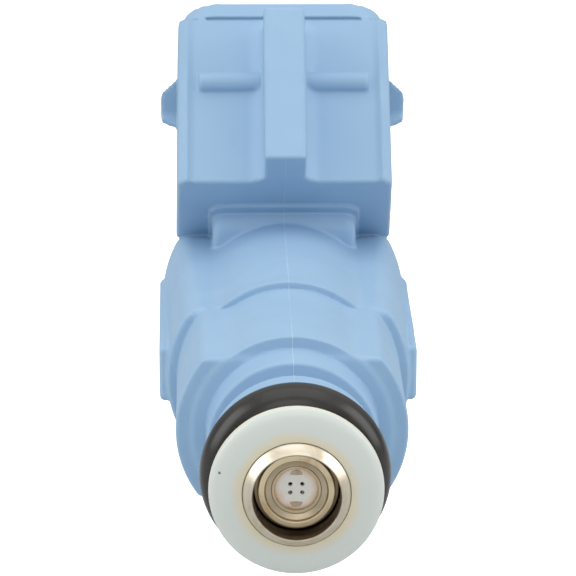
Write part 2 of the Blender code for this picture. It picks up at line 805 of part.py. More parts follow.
for side, label in ((-1, "left"), (1, "right")):
    notch = box(
        "lead_notch_" + label,
        (side * LEAD_X - 0.25, BOBBIN_END_Y - BOBBIN_FLANGE - 0.2, TOWER_TOP),
        (side * LEAD_X + 0.25, BOBBIN_END_Y + 0.2, BOBBIN_RADIUS + 1.0),
    )
    cut(bobbin, notch)
    lead = bar(
        "coil_lead_" + label,
        (side * LEAD_X, BOBBIN_END_Y - BOBBIN_FLANGE - 0.90, LEAD_Z),
        (side * LEAD_X, TERMINAL_FOOT_Y - SEAT_GAP, LEAD_Z),
        LEAD_RADIUS,
        10,
        parts=True,
    )
    smooth(lead)
    dress(lead, "lead_copper_" + label, (0.62, 0.28, 0.12), 0.3, 1.0)
dress(bobbin, "bobbin_nylon", (0.72, 0.68, 0.58), 0.5)

winding = tube(
    "coil_winding",
    WINDING_RADIUS,
    core_radius + SEAT_GAP,
    BOBBIN_Y + BOBBIN_FLANGE + SEAT_GAP,
    BOBBIN_END_Y - BOBBIN_FLANGE - SEAT_GAP,
)
dress(winding, "winding_copper", (0.55, 0.24, 0.10), 0.3, 1.0)

yoke = turned(
    "magnet_yoke",
    [
        (YOKE_BORE + YOKE_WALL, YOKE_END_Y),
        (YOKE_BORE + YOKE_WALL, YOKE_Y),
        (BOBBIN_BORE, YOKE_Y),
        (BOBBIN_BORE, YOKE_Y + YOKE_FRONT_WALL),
        (YOKE_BORE, YOKE_Y + YOKE_FRONT_WALL),
        (YOKE_BORE, YOKE_END_Y),
    ],
    44,
)
dress(yoke, "yoke_steel", (0.36, 0.36, 0.37), 0.4, 1.0)

washer = tube("flux_washer", BOBBIN_RADIUS, BOBBIN_BORE, WASHER_Y, WASHER_Y + WASHER_THICK)
slot = box(
    "washer_slot",
    (-TOWER_HALF - 0.25, WASHER_Y - 1.0, TOWER_LOW - 0.20),
    (TOWER_HALF + 0.25, WASHER_Y + WASHER_THICK + 1.0, BOBBIN_RADIUS + 2.0),
)
cut(washer, slot)
dress(washer, "washer_steel", (0.36, 0.36, 0.37), 0.4, 1.0)

# ---- inlet tube, adjuster and filter ---------------------------------------
POLE_Y = SHIM_Y + SHIM_THICK + SEAT_GAP
FILTER_CONE = FILTER_BORE - INLET_BORE
inlet = turned(
    "inlet_tube",
    [
        (INLET_FLANGE - 0.25, INLET_END_Y),
        (INLET_FLANGE, INLET_END_Y - 0.25),
        (INLET_FLANGE, INLET_END_Y - INLET_FLANGE_LENGTH + 0.25),
        (INLET_FLANGE - 0.25, INLET_END_Y - INLET_FLANGE_LENGTH),
        (TUBE_RADIUS, INLET_END_Y - INLET_FLANGE_LENGTH),
        (TUBE_RADIUS, SLEEVE_END_Y + SEAT_GAP),
        (FITTED, SLEEVE_END_Y + SEAT_GAP),
        (FITTED, POLE_Y),
        (INLET_BORE, POLE_Y),
        (INLET_BORE, FILTER_START_Y - FILTER_CONE),
        (FILTER_BORE, FILTER_START_Y),
        (FILTER_BORE, INLET_END_Y),
    ],
    44,
)
dress(inlet, "inlet_steel", (0.5, 0.48, 0.45), 0.3, 1.0)

ADJUSTER_Y = SPRING_SEAT_Y + SPRING_LENGTH + SEAT_GAP
adjuster = tube(
    "adjusting_sleeve",
    INLET_BORE - 0.05,
    0.80,
    ADJUSTER_Y,
    ADJUSTER_Y + ADJUSTER_LENGTH,
    24,
)
dress(adjuster, "adjuster_steel", STEEL, 0.35, 1.0)

COLLAR_OUTER = FILTER_BORE - SEAT_GAP
COLLAR_INNER = COLLAR_OUTER - 0.50
COLLAR_START_Y = 60.50
COLLAR_END_Y = INLET_END_Y - 0.40
filter_collar = tube("filter_collar", COLLAR_OUTER, COLLAR_INNER, COLLAR_START_Y, COLLAR_END_Y)
dress(filter_collar, "collar_brass", (0.72, 0.52, 0.22), 0.3, 1.0)

FRAME_OUTER = COLLAR_INNER - SEAT_GAP
FRAME_INNER = FRAME_OUTER - 0.40
FRAME_START_Y = FILTER_START_Y + 0.80
FRAME_RING_Y = COLLAR_START_Y - 2.00
frame = tube("filter_frame", FRAME_OUTER, FRAME_INNER, FRAME_RING_Y, COLLAR_START_Y + 1.20, 28)
frame_cap = disc("frame_cap", FRAME_OUTER, FRAME_START_Y, FRAME_START_Y + 0.90, 28)
join(frame, frame_cap)
for index in range(4):
    turn = 45.0 + 90.0 * index
    stave = box(
        "frame_stave_%d" % index,
        (FRAME_INNER + 0.02, FRAME_START_Y + 0.40, -0.30),
        (FRAME_OUTER - 0.04, FRAME_RING_Y + 0.50, 0.30),
    )
    stave.matrix_local = Matrix.Rotation(math.radians(turn), 4, "Y") @ Matrix.Translation(stave.location)
    join(frame, stave)
dress(frame, "frame_nylon", (0.75, 0.72, 0.62), 0.5)

MESH_OUTER = FRAME_INNER - SEAT_GAP
mesh_cup = tube(
    "filter_mesh",
    MESH_OUTER,
    MESH_OUTER - 0.12,
    FRAME_START_Y + 0.90 + SEAT_GAP,
    COLLAR_START_Y + 1.00,
    24,
)
dress(mesh_cup, "filter_gauze", (0.80, 0.78, 0.70), 0.6)

for made in PARTS.objects:
    if made.type == "MESH" and made.name != "valve_ball":
        smooth(made, 60.0 if "ring" in made.name and "o_" in made.name else 32.0)
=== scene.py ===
"""Top-fed fuel injector: the finished look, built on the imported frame.

The injector lies along Y with its nozzle toward -Y, and its connector rises
toward +Z.  Shapes are worked out in millimetres and put down in metres.
"""

import math

import bpy
import numpy as np
from mathutils import Matrix, Vector


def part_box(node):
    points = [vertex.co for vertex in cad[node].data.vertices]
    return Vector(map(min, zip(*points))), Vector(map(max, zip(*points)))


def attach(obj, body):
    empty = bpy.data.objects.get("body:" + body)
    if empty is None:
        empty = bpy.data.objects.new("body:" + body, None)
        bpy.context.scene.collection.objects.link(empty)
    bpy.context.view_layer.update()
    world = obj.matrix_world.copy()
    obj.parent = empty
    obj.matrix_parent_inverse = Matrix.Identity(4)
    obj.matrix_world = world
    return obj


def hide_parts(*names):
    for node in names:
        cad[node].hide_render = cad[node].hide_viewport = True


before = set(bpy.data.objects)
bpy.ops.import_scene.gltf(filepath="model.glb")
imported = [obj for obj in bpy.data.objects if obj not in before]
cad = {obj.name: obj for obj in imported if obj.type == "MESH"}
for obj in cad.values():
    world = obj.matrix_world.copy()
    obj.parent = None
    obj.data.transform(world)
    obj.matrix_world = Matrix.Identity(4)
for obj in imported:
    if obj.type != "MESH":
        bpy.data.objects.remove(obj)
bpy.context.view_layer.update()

# ---------------------------------------------------------------------------
# Overmould housing.  One shot of light blue glass-filled nylon round the coil
# and the steel tube: flange, collar, barrel with wide side lobes, ears, riser
# and the two-pin connector shroud.  All its edges are softened by the tool.
# ---------------------------------------------------------------------------
MM = 0.001
LEAN = math.radians(50.72)              # connector axis above the injector axis
UP_Y, UP_Z = math.cos(LEAN), math.sin(LEAN)
HEEL_Y, HEEL_Z = 41.18, 13.50           # near lower edge of the shroud
SHROUD_DEPTH, SHROUD_END, MOUTH = 12.85, 16.93, 18.50
SHELF = 6.17                            # height of the lobes' upper flats
BARREL_FRONT, STEP, BARREL_END = 10.5, 24.66, 51.0
LIP_CORNER, WALL, SOCKET_CORNER, SOCKET_FLOOR = 3.3, 1.6, 1.7, 4.6


def fuse(a, b, r):
    """Union of two distances with a round fillet of radius r in the corner."""
    return np.maximum(r, np.minimum(a, b)) - np.hypot(np.maximum(r - a, 0.0), np.maximum(r - b, 0.0))


def trim(a, b, r):
    """Common part of two distances with its outer edge rounded to radius r."""
    return np.minimum(-r, np.maximum(a, b)) + np.hypot(np.maximum(r + a, 0.0), np.maximum(r + b, 0.0))


def round_bar(across, y, radius, start, end, edge):
    """Distance to a round bar along Y with both its rims rounded to edge."""
    return trim(across - radius, np.abs(y - (start + end) / 2) - (end - start) / 2, edge)


def shroud_place(y, z):
    """A point's height up the connector axis, and its depth below the near face."""
    return (
        (y - HEEL_Y) * UP_Y + (z - HEEL_Z) * UP_Z,
        (y - HEEL_Y) * UP_Z - (z - HEEL_Z) * UP_Y,
    )


def shroud_half(deep):
    """Half width of the shroud, which is a little wider at its far side."""
    return 9.72 + 0.38 * deep / SHROUD_DEPTH


def barrel(x, y, z):
    """Flange, groove, collar and barrel: round bars, with wide lobes cut flat
    at two shelves and filleted into the upper and lower lobes."""
    around = np.hypot(x, z)
    flat = np.maximum(z, 0.45 - z) - SHELF
    front = round_bar(around, y, 7.97, BARREL_FRONT, 26.5, 0.16)
    front_side = trim(round_bar(around, y, 9.40 + 0.0106 * (y - BARREL_FRONT), BARREL_FRONT, 26.5, 0.22), flat, 0.40)
    front = fuse(front, front_side, 0.55)
    rear = round_bar(around, y, 8.60, STEP, BARREL_END, 0.14)
    reach = 10.42 + 0.0415 * np.minimum(y - STEP, 23.6)
    rear_side = trim(round_bar(around, y, reach, STEP, BARREL_END, 0.26), flat, 0.90)
    rear = fuse(rear, rear_side, 0.60)
    gap = fuse(front, rear, 0.07)
    ears = trim(np.abs(x) - 11.10 - 0.022 * (y - 26.0), np.abs(z) - 2.44, 0.40)
    ears = trim(ears, np.abs(y - 37.125) - 11.195, 0.40)
    gap = fuse(gap, ears, 0.30)
    neck = round_bar(around, y, 5.60, 2.2, 12.0, 0.10)
    flange = round_bar(around, y, 6.80, 1.865, 3.865, 0.18)
    collar = round_bar(around, y, 6.92, 6.80, 12.0, 0.30)
    tail = round_bar(around, y, 7.00, 49.0, 57.385, 0.30)
    front_end = fuse(fuse(neck, flange, 0.14), collar, 0.14)
    return fuse(fuse(gap, front_end, 0.12), tail, 0.40)


def connector(x, y, z):
    """Riser and its foot pad, shroud block with a sunk near panel, lip, centre
    rib, cross ridge and side latches."""
    wide = np.abs(x)
    up, deep = shroud_place(y, z)
    half = shroud_half(deep)
    side, near = wide - half, np.abs(deep - SHROUD_DEPTH / 2) - SHROUD_DEPTH / 2
    block = trim(trim(side, near, 0.10), (side + near + 0.75) * 0.7071, 0.16)
    block = trim(block, up - SHROUD_END, 0.12)
    taper = 0.05 * np.maximum(up - SHROUD_END, 0.0)
    corner_x = side + 8.0 * taper + LIP_CORNER
    corner_n = near + taper + LIP_CORNER
    lip = (
        np.hypot(np.maximum(corner_x, 0.0), np.maximum(corner_n, 0.0))
        + np.minimum(np.maximum(corner_x, corner_n), 0.0)
        - LIP_CORNER
    )
    lip = trim(lip, np.abs(up - (MOUTH + SHROUD_END) / 2 + 1.0) - (MOUTH - SHROUD_END) / 2 - 1.0, 0.18)
    gap = fuse(block, lip, 0.05)
    pocket = trim((side + 0.75 + 2.0 * deep) / 2.236, up - SHROUD_END + 0.04, 0.06)
    gap = trim(gap, -trim(pocket, deep - 0.30, 0.06), 0.08)
    rib = trim(trim(wide - 1.88, np.abs(deep + 1.8) - 2.8, 0.38), up - 15.5, 0.38)
    gap = fuse(gap, rib, 1.50)
    gap = trim(gap, -up, 0.30)
    ridge = trim(np.hypot(up - 10.2, deep - 0.2) - 0.90, wide - 7.8, 0.22)
    gap = fuse(gap, ridge, 0.22)
    face = np.minimum(4.7 + 1.6 * (13.2 - up), 8.06) - deep
    latch = trim(np.maximum(face * 0.53, deep - 8.8), (wide - 11.50) * 0.484 + (up - 12.37) * 0.875, 0.30)
    latch = trim(latch, (wide - 11.50) * 0.413 - (up - 10.45) * 0.911, 0.16)
    latch = trim(latch, wide - 11.50, 0.20)
    latch = np.maximum(latch, np.maximum(8.7 - wide, up - 14.6))
    gap = fuse(gap, latch, 0.08)
    slope = (y - 44.75) * -0.643 + (z - 8.62) * 0.766
    riser = trim(trim(wide - 6.6, slope - 0.20, 1.30), 44.60 - y, 0.62)
    riser = trim(riser, np.maximum(y - 53.6, -z), 0.2)
    pad = trim(trim(wide - 6.96, 4.68 - deep, 1.50), -up - 0.42, 0.12)
    pad = np.maximum(pad, np.maximum(up - 1.0, deep - 12.2))
    return fuse(gap, pad, 0.06), riser


def pin_channel(x, y, z):
    """Slot round each pin: a flat band of even thickness along the pin's path."""
    path = [(30.8, 5.6), (44.57, 5.6), (47.97, 9.756), (48.31, 12.064), (49.70, 13.767)]
    near = np.full(np.shape(x), 1e3)
    for (y0, z0), (y1, z1) in zip(path, path[1:]):
        run_y, run_z = y1 - y0, z1 - z0
        along = np.clip(((y - y0) * run_y + (z - z0) * run_z) / (run_y ** 2 + run_z ** 2), 0.0, 1.0)
        near = np.minimum(near, np.hypot(y - y0 - along * run_y, z - z0 - along * run_z))
    return np.maximum(near - 0.5, np.abs(np.abs(x) - 2.5) - 1.5)


def housing_gap(x, y, z):
    """Distance in millimetres from the moulding's skin, less than 0 inside it:
    barrel and connector filleted together, less the socket, bore and slots."""
    shroud, riser = connector(x, y, z)
    gap = fuse(barrel(x, y, z), riser, 0.30)
    gap = fuse(gap, shroud, 0.22)
    up, deep = shroud_place(y, z)
    wall_x = np.abs(x) - (shroud_half(deep) - WALL - SOCKET_CORNER)
    wall_n = np.abs(deep - SHROUD_DEPTH / 2) - (SHROUD_DEPTH / 2 - WALL - SOCKET_CORNER)
    socket = (
        np.hypot(np.maximum(wall_x, 0.0), np.maximum(wall_n, 0.0))
        + np.minimum(np.maximum(wall_x, wall_n), 0.0)
        - SOCKET_CORNER
    )
    socket = trim(socket, SOCKET_FLOOR - up, 0.30)
    gap = trim(gap, -socket, 0.25)
    around = np.hypot(x, z)
    bore = np.minimum(around - 3.85, round_bar(around, y, 6.85, 13.30, 32.30, 0.05))
    bore = np.minimum(bore, round_bar(around, y, 4.85, 12.05, 13.60, 0.05))
    gap = np.maximum(gap, -np.minimum(bore, pin_channel(x, y, z)))
    return gap


def settle(points, passes=4, reach=0.02):
    """Moves points onto the skin down the distance's slope; gives them and the
    outward directions there."""
    for _ in range(passes):
        here = housing_gap(*points.T)
        slope = np.stack(
            [
                housing_gap(*(points + step).T) - housing_gap(*(points - step).T)
                for step in np.eye(3) * reach
            ],
            1,
        ) / (2 * reach)
        size = np.maximum((slope ** 2).sum(1, keepdims=True), 0.25)
        points = points - np.clip(here[:, None], -0.12, 0.12) * slope / size
    return points, slope / np.sqrt(size)


def skin_net(axes, field):
    """Net of four-sided faces over the zero level: each grid cell the level
    passes through gives one point, the mean of its edge crossings, and each
    crossed grid edge joins the four cells round it."""
    inside = field < 0.0
    cells = tuple(len(a) - 1 for a in axes)
    total = np.zeros(cells + (3,), np.float32)
    count = np.zeros(cells, np.int8)
    crossings = []
    for k in range(3):
        low = [slice(None)] * 3
        high = [slice(None)] * 3
        low[k], high[k] = slice(0, -1), slice(1, None)
        f0, f1 = field[tuple(low)], field[tuple(high)]
        crossed = inside[tuple(low)] != inside[tuple(high)]
        place = np.argwhere(crossed)
        share = (f0[crossed] / (f0[crossed] - f1[crossed]))[:, None]
        point = np.stack([axes[a][place[:, a]] for a in range(3)], 1)
        point[:, k] += share[:, 0] * (axes[k][place[:, k] + 1] - axes[k][place[:, k]])
        crossings.append((k, place, inside[tuple(low)][crossed]))
        others = [a for a in range(3) if a != k]
        for da in (0, 1):
            for db in (0, 1):
                cell = place.copy()
                cell[:, others[0]] -= da
                cell[:, others[1]] -= db
                ok = np.all((cell >= 0) & (cell < np.array(cells)), 1)
                at = tuple(cell[ok].T)
                np.add.at(total, at, point[ok].astype(np.float32))
                np.add.at(count, at, 1)
    used = np.argwhere(count > 0)
    number = np.full(cells, -1, np.int64)
    number[tuple(used.T)] = np.arange(len(used))
    points = total[tuple(used.T)] / count[tuple(used.T)][:, None]
    quads = []
    for k, place, first_in in crossings:
        a, b = [(1, 2), (2, 0), (0, 1)][k]
        ring = []
        for da, db in ((-1, -1), (0, -1), (0, 0), (-1, 0)):
            cell = place.copy()
            cell[:, a] += da
            cell[:, b] += db
            ring.append(number[tuple(np.clip(cell, 0, np.array(cells) - 1).T)])
        ring = np.stack(ring, 1)
        quads.append(np.where(first_in[:, None], ring, ring[:, ::-1]))
    quads = np.concatenate(quads)
    return points.astype(float), quads[(quads >= 0).all(1)]


def lay(name, points, faces, material, body="injector", shade=True, normals=None):
    """Makes one closed piece from points in millimetres and four-sided faces."""
    volume = np.einsum("ij,ij->i", points[faces[:, 0]], np.cross(points[faces[:, 1]], points[faces[:, 2]])).sum()
    volume += np.einsum("ij,ij->i", points[faces[:, 0]], np.cross(points[faces[:, 2]], points[faces[:, 3]])).sum()
    if volume < 0.0:
        faces = faces[:, ::-1]
    mesh = bpy.data.meshes.new(name)
    mesh.from_pydata((points * MM).tolist(), [], faces.tolist())
    mesh.polygons.foreach_set("use_smooth", np.full(len(faces), shade))
    if normals is not None:
        mesh.normals_split_custom_set_from_vertices(normals.tolist())
    mesh.update()
    piece = bpy.data.objects.new(name, mesh)
    bpy.context.scene.collection.objects.link(piece)
    mesh.materials.append(material)
    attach(piece, body)
    return piece


def spans(*runs):
    """Grid stations from runs of (end, spacing) that start at the first number."""
    stations = [np.array([runs[0]])]
    for end, spacing in runs[1:]:
        start = stations[-1][-1]
        stations.append(np.linspace(start, end, int(round((end - start) / spacing)) + 1)[1:])
    return np.concatenate(stations)


def node(tree, kind, settings=None, **inputs):
    """One shader node: settings are its own, inputs are numbers or sockets."""
    made = tree.nodes.new(kind)
    for key, value in (settings or {}).items():
        setattr(made, key, value)
    for key, value in inputs.items():
        socket = made.inputs[int(key[1:])] if key[0] == "i" and key[1:].isdigit() else made.inputs[key.replace("_", " ")]
        if isinstance(value, bpy.types.NodeSocket):
            tree.links.new(value, socket)
        else:
            socket.default_value = value
    return made


def math_node(tree, operation, a, b=0.0, clamp=False):
    return node(tree, "ShaderNodeMath", {"operation": operation, "use_clamp": clamp}, i0=a, i1=b).outputs[0]


def blend_node(tree, factor, a, b):
    """Colour a where factor is 0 and colour b where it is 1."""
    made = tree.nodes.new("ShaderNodeMix")
    made.data_type = "RGBA"
    for index, value in ((0, factor), (6, a), (7, b)):
        if isinstance(value, bpy.types.NodeSocket):
            tree.links.new(value, made.inputs[index])
        else:
            made.inputs[index].default_value = value
    return made.outputs[2]


def ramp_node(tree, value, low, high):
    """0 below low and 1 above high, smooth between."""
    made = tree.nodes.new("ShaderNodeMapRange")
    made.interpolation_type = "SMOOTHSTEP"
    tree.links.new(value, made.inputs["Value"])
    made.inputs["From Min"].default_value = low
    made.inputs["From Max"].default_value = high
    return made.outputs["Result"]


def cell_above(tree, cells, channel, level):
    """1 in the cells of a Voronoi pattern whose random colour channel passes a level."""
    colour = node(tree, "ShaderNodeSeparateColor", Color=cells.outputs["Color"])
    return math_node(tree, "GREATER_THAN", colour.outputs[channel], level)


def group(name, takes, gives):
    """Empty shader group with named sockets: (name, kind, default)."""
    made = bpy.data.node_groups.new(name, "ShaderNodeTree")
    for label, kind, default in takes:
        socket = made.interface.new_socket(label, in_out="INPUT", socket_type="NodeSocket" + kind)
        socket.default_value = default
    for label, kind in gives:
        made.interface.new_socket(label, in_out="OUTPUT", socket_type="NodeSocket" + kind)
    return made, made.nodes.new("NodeGroupInput").outputs, made.nodes.new("NodeGroupOutput").inputs


def moulded_skin():
    """Colour drift from the flow of the melt, spark-eroded grain and fine specks."""
    tree, take, give = group(
        "moulded_skin",
        [("Colour", "Color", (0.5, 0.5, 0.5, 1)), ("Pale", "Color", (0.6, 0.6, 0.6, 1)), ("Grain", "Float", 1.0)],
        [("Colour", "Color"), ("Roughness", "Float"), ("Height", "Float")],
    )
    place = node(tree, "ShaderNodeTexCoord").outputs["Object"]
    flow = node(tree, "ShaderNodeTexNoise", Vector=place, Scale=130.0, Detail=4.0, Roughness=0.55, Distortion=0.6)
    cloud = node(tree, "ShaderNodeTexNoise", Vector=place, Scale=620.0, Detail=3.0, Roughness=0.6)
    grain = node(tree, "ShaderNodeTexNoise", Vector=place, Scale=4200.0, Detail=2.0, Roughness=0.6)
    speck = node(tree, "ShaderNodeTexVoronoi", {"feature": "F1"}, Vector=place, Scale=420.0, Randomness=1.0)
    drift = ramp_node(tree, flow.outputs["Fac"], 0.34, 0.68)
    soft = math_node(tree, "MULTIPLY", cloud.outputs["Fac"], 0.45)
    mixed = math_node(tree, "MULTIPLY", math_node(tree, "ADD", drift, soft), 0.62, True)
    colour = blend_node(tree, mixed, take["Colour"], take["Pale"])
    chosen = cell_above(tree, speck, 0, 0.955)
    dot = math_node(tree, "MULTIPLY", math_node(tree, "LESS_THAN", speck.outputs["Distance"], 0.045), chosen)
    pick = cell_above(tree, speck, 1, 0.5)
    fleck = blend_node(tree, pick, (0.10, 0.09, 0.07, 1), (0.86, 0.88, 0.88, 1))
    colour = blend_node(tree, math_node(tree, "MULTIPLY", dot, 0.65), colour, fleck)
    tree.links.new(colour, give["Colour"])
    rough = node(tree, "ShaderNodeMapRange", Value=cloud.outputs["Fac"])
    rough.inputs["To Min"].default_value, rough.inputs["To Max"].default_value = 0.40, 0.62
    tree.links.new(rough.outputs[0], give["Roughness"])
    height = math_node(tree, "MULTIPLY", grain.outputs["Fac"], take["Grain"])
    tree.links.new(height, give["Height"])
    return tree


SKIN = moulded_skin()


def nylon(name, colour, pale, grain=1.0, sheen=0.4, bump=0.000012, milky=0.0):
    """Moulded nylon: a semi-matt skin over the shared moulded_skin pattern."""
    made = bpy.data.materials.new(name)
    made.use_nodes = True
    tree = made.node_tree
    shader = tree.nodes["Principled BSDF"]
    skin = node(tree, "ShaderNodeGroup", {"node_tree": SKIN}, Colour=(*colour, 1), Pale=(*pale, 1), Grain=grain)
    tree.links.new(skin.outputs["Colour"], shader.inputs["Base Color"])
    tree.links.new(skin.outputs["Roughness"], shader.inputs["Roughness"])
    relief = node(tree, "ShaderNodeBump", Strength=0.5, Distance=bump, Height=skin.outputs["Height"])
    tree.links.new(relief.outputs[0], shader.inputs["Normal"])
    shader.inputs["Specular IOR Level"].default_value = sheen
    if milky:
        shader.inputs["Subsurface Weight"].default_value = milky
        shader.inputs["Subsurface Radius"].default_value = (1.0, 0.9, 0.8)
        shader.inputs["Subsurface Scale"].default_value = 0.0008
    return made


blue_nylon = nylon("blue_nylon", (0.305, 0.475, 0.665), (0.335, 0.505, 0.695), sheen=0.32)

grid = (
    spans(-11.88, (11.88, 0.33)),
    spans(1.55, (2.35, 0.12), (3.45, 0.3), (4.35, 0.12), (6.5, 0.35), (7.4, 0.12), (10.1, 0.4), (11.0, 0.12),
          (24.2, 0.6), (25.1, 0.12), (26.5, 0.22), (36.6, 0.6), (44.2, 0.32), (46.6, 0.17), (51.2, 0.25), (63.4, 0.33)),
    spans(-10.9, (5.0, 0.36), (10.8, 0.24), (28.9, 0.32)),
)
gx, gy, gz = np.meshgrid(*grid, indexing="ij")
points, faces = skin_net(grid, housing_gap(gx, gy, gz).astype(np.float32))
points, outward = settle(points)
housing = lay("overmould_body", points, faces, blue_nylon, normals=outward)
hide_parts("overmould_housing")

# The two mould halves leave a hair of flash down the middle of the housing,
# from the rib's foot over riser, barrel and collar to the front flange.  It is
# squeezed nylon, paler than the moulding and never quite even.
FLASH_ROUTE = [(37.72, 16.33), (45.80, 9.74), (45.00, 8.84), (44.30, 8.55), (24.80, 8.55), (24.60, 8.02),
               (10.60, 7.99), (10.48, 7.02), (6.90, 6.94), (6.78, 5.66), (3.90, 5.62), (3.84, 6.76), (1.95, 6.80)]


def flash(route, half=0.055, rise=0.045):
    """A four-sided bead along the middle plane: the route is cut into 0.12 mm
    steps and settled on the skin, and the crest's rise wanders along it."""
    route = np.array(route)
    lengths = np.r_[0.0, np.cumsum(np.hypot(*np.diff(route, axis=0).T))]
    along = np.linspace(0.0, lengths[-1], int(lengths[-1] / 0.12))
    centre = np.stack([np.zeros_like(along), np.interp(along, lengths, route[:, 0]), np.interp(along, lengths, route[:, 1])], 1)
    centre, away = settle(centre, 5)
    wander = 0.62 + 0.25 * np.sin(along * 2.1) * np.sin(along * 0.63 + 1.0) + 0.18 * np.sin(along * 7.9 + 2.0)
    ends = np.clip(np.minimum(along, along[-1] - along) / 0.5, 0.0, 1.0)
    strong = np.interp(centre[:, 1], [3.0, 10.0, 12.0, 38.0, 42.0], [1.0, 1.0, 0.55, 0.55, 1.1])
    crest = (rise * wander * strong * ends)[:, None]
    across = np.array([[1.0, 0.0, 0.0]])
    ring = np.stack([centre - half * across - 0.03 * away, centre + crest * away - 0.012 * across,
                     centre + crest * away + 0.012 * across, centre + half * across - 0.03 * away], 1)
    return closed_tube(ring)


def closed_tube(rings):
    """Joins rings of points (steps, around, 3) into a tube with pinched ends."""
    steps, around = rings.shape[:2]
    grid_points = rings.reshape(-1, 3)
    i, j = np.meshgrid(np.arange(steps - 1), np.arange(around), indexing="ij")
    a, b = i * around + j, i * around + (j + 1) % around
    sides = np.stack([a, b, b + around, a + around], -1).reshape(-1, 4)
    tips = np.array([grid_points[:around].mean(0), grid_points[-around:].mean(0)])
    count = len(grid_points)
    caps = []
    for start, tip in ((0, count), ((steps - 1) * around, count + 1)):
        for k in range(around // 2):
            caps.append([start + 2 * k, start + (2 * k + 1) % around, start + (2 * k + 2) % around, tip])
    caps = np.array(caps)
    caps[: len(caps) // 2] = caps[: len(caps) // 2, ::-1]
    return np.concatenate([grid_points, tips]), np.concatenate([sides, caps])


flash_nylon = nylon("flash_nylon", (0.36, 0.52, 0.70), (0.60, 0.70, 0.80), grain=2.0)
points, faces = flash(FLASH_ROUTE)
seam = lay("parting_flash", points, faces, flash_nylon)

# ---------------------------------------------------------------------------
# O-rings.  Black fluorocarbon rubber, compression moulded: round section with
# a hair of flash left where the mould halves met, faint flow marks and lint.
# ---------------------------------------------------------------------------


def turn_round(outline, around, name, material, body="injector"):
    """Carries a closed outline of (radius, station) once round the injector's
    axis: point (i, j) is (r_i cos a_j, y_i, r_i sin a_j)."""
    outline = np.asarray(outline)
    angle = np.linspace(0.0, 2.0 * np.pi, around, endpoint=False)
    r, y = outline[:, :1], outline[:, 1:]
    ring = np.stack([r * np.cos(angle), np.broadcast_to(y, (len(r), around)), r * np.sin(angle)], -1)
    i, j = np.meshgrid(np.arange(len(r)), np.arange(around), indexing="ij")
    i2, j2 = (i + 1) % len(r), (j + 1) % around
    quads = np.stack([i * around + j, i * around + j2, i2 * around + j2, i2 * around + j], -1).reshape(-1, 4)
    return lay(name, ring.reshape(-1, 3), quads, material, body)


def ring_section(mean, cord, station, flash_at=(0.0, math.pi)):
    """Round section of an O-ring with two low flash lines, at angles measured
    from its outer side: radius = cord / 2 + a narrow bump at each line."""
    a = np.linspace(0.0, 2.0 * np.pi, 96, endpoint=False)
    reach = np.full(96, cord / 2)
    for at in flash_at:
        off = (a - at + np.pi) % (2 * np.pi) - np.pi
        reach = reach + 0.022 * np.exp(-((off / 0.045) ** 2))
    reach = np.minimum(reach, cord / 2 + 0.022) * (1.0 - 0.022 / (cord / 2))
    return np.stack([mean + reach * np.cos(a), station + reach * np.sin(a)], 1)


def rubber(name, colour, gloss):
    """Rubber: dark, half-matt, with flow marks, pale dust and a bloomed sheen."""
    made = bpy.data.materials.new(name)
    made.use_nodes = True
    tree = made.node_tree
    shader = tree.nodes["Principled BSDF"]
    place = node(tree, "ShaderNodeTexCoord").outputs["Object"]
    flow = node(tree, "ShaderNodeTexNoise", Vector=place, Scale=380.0, Detail=5.0, Roughness=0.6)
    fine = node(tree, "ShaderNodeTexNoise", Vector=place, Scale=3800.0, Detail=2.0, Roughness=0.5)
    lint = node(tree, "ShaderNodeTexVoronoi", Vector=place, Scale=900.0, Randomness=1.0)
    pick = cell_above(tree, lint, 0, 0.965)
    dust = math_node(tree, "MULTIPLY", math_node(tree, "LESS_THAN", lint.outputs["Distance"], 0.07), pick)
    paler = tuple(c * 1.6 for c in colour)
    bloom = blend_node(tree, ramp_node(tree, flow.outputs["Fac"], 0.35, 0.75), (*colour, 1), (*paler, 1))
    dusty = blend_node(tree, math_node(tree, "MULTIPLY", dust, 0.6), bloom, (0.55, 0.52, 0.46, 1))
    tree.links.new(dusty, shader.inputs["Base Color"])
    rough = node(tree, "ShaderNodeMapRange", Value=flow.outputs["Fac"])
    rough.inputs["To Min"].default_value, rough.inputs["To Max"].default_value = gloss - 0.06, gloss + 0.12
    tree.links.new(rough.outputs[0], shader.inputs["Roughness"])
    relief = node(tree, "ShaderNodeBump", Strength=0.35, Distance=0.00001, Height=fine.outputs["Fac"])
    tree.links.new(relief.outputs[0], shader.inputs["Normal"])
    shader.inputs["Specular IOR Level"].default_value = 0.55
    return made


ring_rubber = rubber("ring_rubber", (0.011, 0.010, 0.008), 0.24)
for station, node_name in ((0.0, "manifold_o_ring"), (60.65, "rail_o_ring")):
    piece = turn_round(ring_section(5.615, 3.53, station), 160, node_name + "_seal", ring_rubber)
    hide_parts(node_name)
seal_rubber = rubber("seal_rubber", (0.05, 0.032, 0.026), 0.45)
for name in ("coil_seal_front", "coil_seal_rear"):
    cad[name].material_slots[0].material = seal_rubber

# ---------------------------------------------------------------------------
# Nozzle cap.  Milky natural nylon, pressed over the flared nose to keep the
# lower O-ring on.  It is cream where it is thin over the metal, cooler outside.
# ---------------------------------------------------------------------------


